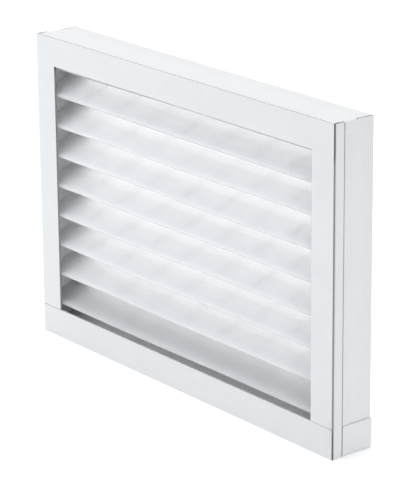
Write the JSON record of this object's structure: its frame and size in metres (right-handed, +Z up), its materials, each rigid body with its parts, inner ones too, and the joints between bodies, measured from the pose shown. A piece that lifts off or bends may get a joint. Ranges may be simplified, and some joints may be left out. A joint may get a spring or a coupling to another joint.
{
  "type": "pleated panel air filter",
  "caption": "Rectangular ventilation air filter: white pleated fleece, its crests showing like louvre blades, in a folded white card frame with a front and a rear window.",
  "frame": {"origin": "middle of the base that it stands on", "axes": "+X along the width to the right seen from the front, +Y from the front face to the rear face, +Z up across the pleats"},
  "size_m": [0.43, 0.046, 0.3],
  "materials": {
    "plate_card": "matt white-lined board, grey at its cut edges",
    "folded_card": "matt white-lined card, soft at its folds",
    "fleece": "white synthetic needled fleece with a fine bonded pattern",
    "adhesive": "pale hot-melt adhesive, slightly glossy",
    "support_metal": "zinc-plated steel wire"
  },
  "bodies": {
    "root": {"front_plate": "plate_card", "front_sill": "plate_card", "top_channel": "folded_card", "bottom_cap": "folded_card", "side_channel_left": "folded_card", "side_channel_right": "folded_card", "corner_angle_left": "folded_card", "corner_angle_right": "folded_card", "seam_strip_left": "folded_card", "seam_strip_right": "folded_card", "edge_seal_left": "adhesive", "edge_seal_right": "adhesive", "lip_glue_bottom": "adhesive", "lip_glue_top": "adhesive", "pleated_media": "fleece", "support_grid": "support_metal"}
  },
  "joints": []
}
